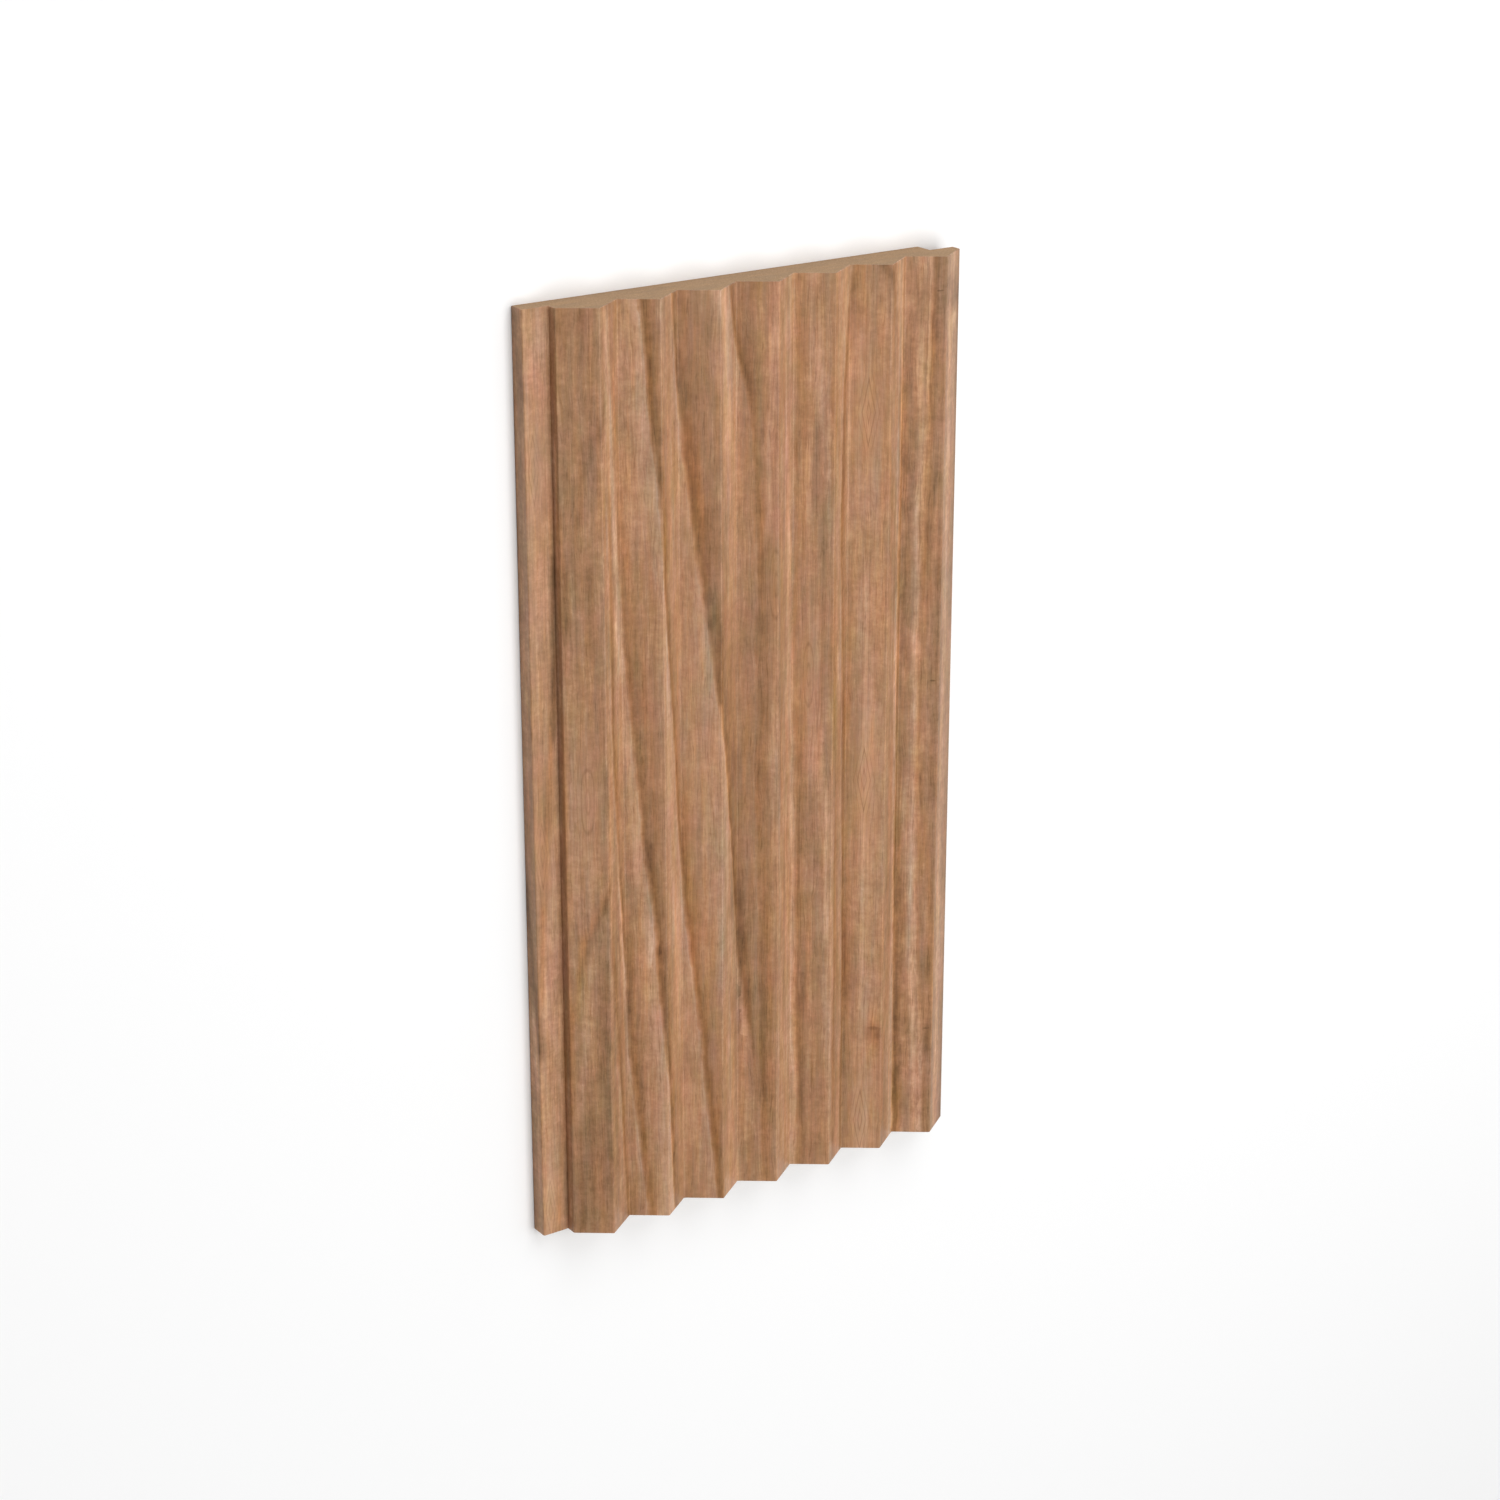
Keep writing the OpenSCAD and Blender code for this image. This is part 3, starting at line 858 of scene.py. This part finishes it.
# %% Veneer: rows of lenses, as (axis, middle, half width, half length, every, roundness, strength)
LENSES = (
    (218.0, 15.0, 3.5, 18.0, 174.0, 1.0, 1.0),
    (12.0, 12.0, 3.0, 17.5, 174.0, 1.0, 0.8),
    (180.0, 246.0, 2.6, 17.0, 900.0, 2.5, 0.8),
    (36.0, 211.0, 3.4, 17.5, 900.0, 2.5, 0.8),
    (153.5, 294.0, 3.4, 18.0, 900.0, 2.5, 0.7),
)
LENS_SOCKETS = ("Axis", "Middle", "Half width", "Half length", "Every", "Roundness")
LENS_WANDERS = 0.05
lenses, calm = 0.0, 0.0
for *shape, strength in LENSES:
    inputs = dict(zip(LENS_SOCKETS, shape), Position=flat_mm,
                  Wander=calc(tree, "MULTIPLY", wander, LENS_WANDERS))
    row = add(tree, "ShaderNodeGroup", inputs, node_tree=lens_group).outputs
    lenses = calc(tree, "MULTIPLY_ADD", row["Lines"], strength, lenses)
    calm = calc(tree, "MULTIPLY_ADD", row["Calm"], strength, calm)
print("rows of lenses: %d" % len(LENSES))

# %% [markdown]
# Last come the flaws that make the sheet a real one: the crisp rim of a knot no bigger than a
# lentil, and three nicks of dark bark. They are too small for the mesh to carry. Each is an oval,
# exp(-(aside^2 + above^2)^2), which is flat inside and falls off quickly at its rim.

# %% Veneer: small dark marks, as (across, up from the lower end, half width, half height, darkness)
DARK_MARKS = (
    (224.0, 63.5, 3.0, 1.0, 0.25),
    (261.5, 414.0, 1.3, 0.45, 0.5),
    (261.5, 231.5, 1.3, 0.45, 0.5),
    (261.5, 55.5, 1.2, 0.4, 0.35),
)
RAGGED = 0.4
ragged = vector(tree, "ADD", flat_mm, calc(tree, "MULTIPLY", fleck, RAGGED))
spot = add(tree, "ShaderNodeSeparateXYZ", {0: ragged}).outputs
marked = 0.0
for across, up, half_width, half_height, strength in DARK_MARKS:
    aside = calc(tree, "DIVIDE", calc(tree, "SUBTRACT", spot["X"], across), half_width)
    above = calc(tree, "DIVIDE", calc(tree, "SUBTRACT", spot["Y"], up), half_height)
    oval = calc(tree, "MULTIPLY_ADD", aside, aside, calc(tree, "MULTIPLY", above, above))
    marked = calc(tree, "MULTIPLY_ADD", peak(tree, oval, 0.0, 1.0), strength, marked)
print("dark marks: %d" % len(DARK_MARKS))

# %% Veneer: all of it as one tone
CALMED_BY = 0.75
restless = calc(tree, "SUBTRACT", 1.0, calc(tree, "MULTIPLY", calm, CALMED_BY), clamp=True)
streaks = calc(tree, "MULTIPLY", streak, calc(tree, "MULTIPLY", stored["streak_strength"], restless))
mottled = weigh(tree, 0.0, (cloud, 0.12), (mottle, 0.12), (ripple, 0.05), (fleck, 0.12))
mottled = calc(tree, "MULTIPLY", mottled, calc(tree, "MULTIPLY", stored["mottle_strength"], restless))
tone = calc(tree, "ADD", stored["wood_tone"], mottled)
tone = weigh(tree, tone, (dark, -1.0), (pale, 0.1), (streaks, 0.13), (grain, 0.12),
             (calc(tree, "MULTIPLY", pores, restless), -0.17), (lenses, 0.22), (marked, -1.0))
print("with all of it as one tone: %d nodes" % len(tree.nodes))

# %% [markdown]
# The tone picks a brown. Dark browns are the most saturated and pale ones the least, as in most
# woods. The hue then drifts, and the growth lines are warmer than other wood that is just as dark.

# %% Veneer: browns
BROWNS = ((-0.9, (100, 70, 44)), (-0.4, (140, 103, 71)), (0.0, (171, 128, 94)), (0.3, (198, 154, 118)),
          (0.65, (230, 188, 150)))
TONE_FROM = BROWNS[0][0]
TONE_TO = BROWNS[-1][0]
USUAL_WARMTH = 0.15
USUAL_PINKNESS = 0.3
on_ramp = remap(tree, tone, (TONE_FROM, TONE_TO))
stops = [((at - TONE_FROM) / (TONE_TO - TONE_FROM), srgb(*colour)) for at, colour in BROWNS]
browns = ramp(tree, on_ramp, stops)
warmth = calc(tree, "ADD", stored["wood_warmth"], USUAL_WARMTH)
amber = speckle(tree, flat_mm, (4, 50, 1), 9.0, 5.0, 0.65)
warmth = weigh(tree, warmth, (amber, 3.6), (warm_edge, 10.0), (pale, -2.0))
pinkness = calc(tree, "ADD", stored["wood_pinkness"], USUAL_PINKNESS)
rosy = speckle(tree, flat_mm, (9, 24, 1), 10.0, 5.0, 0.65)
pinkness = weigh(tree, pinkness, (rosy, 5.0), (warm_edge, -2.5), (marked, 2.0))
tree.links.new(drifting_hue(tree, browns, warmth, pinkness), shader.inputs["Base Color"])
print("browns: %d, from tone %.2f to %.2f" % (len(BROWNS), TONE_FROM, TONE_TO))

# %% [markdown]
# A satin lacquer fills most of the pores, so the relief is slight: grain and pores together move
# the surface by a few hundredths of a millimetre. The lacquer is a little duller over open grain.

# %% Veneer: gloss and relief
relief = calc(tree, "MULTIPLY_ADD", grain, 0.5, calc(tree, "MULTIPLY", pores, -1.0))
bump = add(tree, "ShaderNodeBump", {"Height": relief, "Distance": 0.02 * MM, "Strength": 0.6})
roughness = remap(tree, calc(tree, "ADD", grain, pores), (-1.0, 2.0), (0.44, 0.6))
tree.links.new(bump.outputs[0], shader.inputs["Normal"])
tree.links.new(roughness, shader.inputs["Roughness"])
shader.inputs["Specular IOR Level"].default_value = 0.32
sheet_mesh.materials.append(veneer)
print("veneer: %d nodes" % len(tree.nodes))

# %% [markdown]
# ## The fibreboard's finish
#
# Cut fibreboard is a dense felt of ground fibres: an even tan with a fine pepper of darker and
# paler specks, quite matte. The same speckle group gives it in three sizes, this time with equal
# sides, on the board's own coordinates so that it runs through the board like the real thing.

# %% Fibreboard
fibreboard, tree, shader = new_material("fibreboard, bare")
TANS = ((0.0, (126, 96, 68)), (0.5, (173, 142, 111)), (1.0, (208, 180, 150)))
board_mm = vector(tree, "SCALE", add(tree, "ShaderNodeTexCoord").outputs["Object"], 1 / MM)
fibres = speckle(tree, board_mm, (0.55, 0.55, 0.4), 11.0, 1.0)
specks = speckle(tree, board_mm, (1.1, 1.1, 0.7), 12.0, 2.0)
patches = speckle(tree, board_mm, (14, 30, 3), 13.0, 2.0)
tone = weigh(tree, 0.5, (fibres, 0.16), (specks, 0.10), (patches, 0.05))
tans = ramp(tree, tone, [(at, srgb(*colour)) for at, colour in TANS])
relief = calc(tree, "MULTIPLY_ADD", specks, 0.6, fibres)
bump = add(tree, "ShaderNodeBump", {"Height": relief, "Distance": 0.03 * MM, "Strength": 0.7})
warmth = calc(tree, "MULTIPLY", patches, 1.2)
pinkness = calc(tree, "MULTIPLY", specks, 1.0)
tree.links.new(drifting_hue(tree, tans, warmth, pinkness), shader.inputs["Base Color"])
tree.links.new(bump.outputs[0], shader.inputs["Normal"])
shader.inputs["Roughness"].default_value = 0.85
shader.inputs["Specular IOR Level"].default_value = 0.05
board_mesh.materials.append(fibreboard)
print("fibreboard: %d nodes" % len(tree.nodes))

# %% [markdown]
# ## Where it lies, the light and the camera
#
# The panel lies on its flat back on a plain pale floor. Light in a small studio is mostly bounce:
# a white surround and three wide soft lamps, one overhead, one beyond the upper end and a weaker
# one on the right. The camera looks from the left and from beyond the upper end.

# %% Floor
FLOOR_SIZE = 40.0
FLOOR_DROP = 0.05 * MM
square = np.array([(-1, -1, 0), (1, -1, 0), (1, 1, 0), (-1, 1, 0)])
floor_corners = FLOOR_SIZE / 2 * square - (0, 0, FLOOR_DROP)
floor_mesh = make_mesh("studio_floor", floor_corners, [np.array([[0, 1, 2, 3]])])
floor = bpy.data.objects.new("studio_floor", floor_mesh)
bpy.context.scene.collection.objects.link(floor)
pale_floor, tree, shader = new_material("pale floor")
shader.inputs["Base Color"].default_value = (0.9, 0.9, 0.9, 1)
shader.inputs["Roughness"].default_value = 0.9
floor_mesh.materials.append(pale_floor)
print("floor: %.0f m wide" % FLOOR_SIZE)

# %% Light
WORLD_STRENGTH = 0.22
world = bpy.data.worlds.new("white surround")
bpy.context.scene.world = world
world.use_nodes = True
world.node_tree.nodes["Background"].inputs["Color"].default_value = (1, 1, 1, 1)
world.node_tree.nodes["Background"].inputs["Strength"].default_value = WORLD_STRENGTH


def soft_lamp(name, place, aim, size, power):
    """A square area lamp at a place, turned so that it shines at the aim."""
    lamp = bpy.data.lights.new(name, "AREA")
    lamp.size = size
    lamp.energy = power
    shown = bpy.data.objects.new(name, lamp)
    shown.matrix_world = (Matrix.Translation(place)
                          @ (Vector(aim) - Vector(place)).to_track_quat("-Z", "Y").to_matrix().to_4x4())
    bpy.context.scene.collection.objects.link(shown)
    print("%s: %.1f m wide, %.0f W" % (name, size, power))


soft_lamp("overhead_lamp", (0.1, 0.0, 2.2), (0, 0, 0), 1.8, 39)
soft_lamp("upper_lamp", (0.2, 1.8, 1.5), (0, 0, 0), 1.6, 20)
soft_lamp("right_lamp", (1.9, 0.2, 1.3), (0, 0, 0), 1.6, 8)

# %% Camera
TURN = np.radians(34.25)
RISE = np.radians(20.4)
AIM = np.array([8.0, -6.0, 0.0]) * MM
DISTANCE = 1.515
LENS = 80
look = np.array([np.cos(RISE) * np.sin(TURN), -np.sin(RISE), -np.cos(RISE) * np.cos(TURN)])
to_right = np.array([np.cos(TURN), 0, np.sin(TURN)])
to_top = np.cross(to_right, look)
turned = Matrix(np.column_stack([to_right, to_top, -look]).tolist()).to_4x4()
camera = bpy.data.objects.new("camera", bpy.data.cameras.new("camera"))
camera.data.lens = LENS
camera.data.clip_start = 0.05
camera.matrix_world = Matrix.Translation(AIM - DISTANCE * look) @ turned
bpy.context.scene.collection.objects.link(camera)
bpy.context.scene.camera = camera
bpy.context.scene.view_settings.view_transform = "Standard"
print("camera at", [round(x, 3) for x in camera.matrix_world.translation])
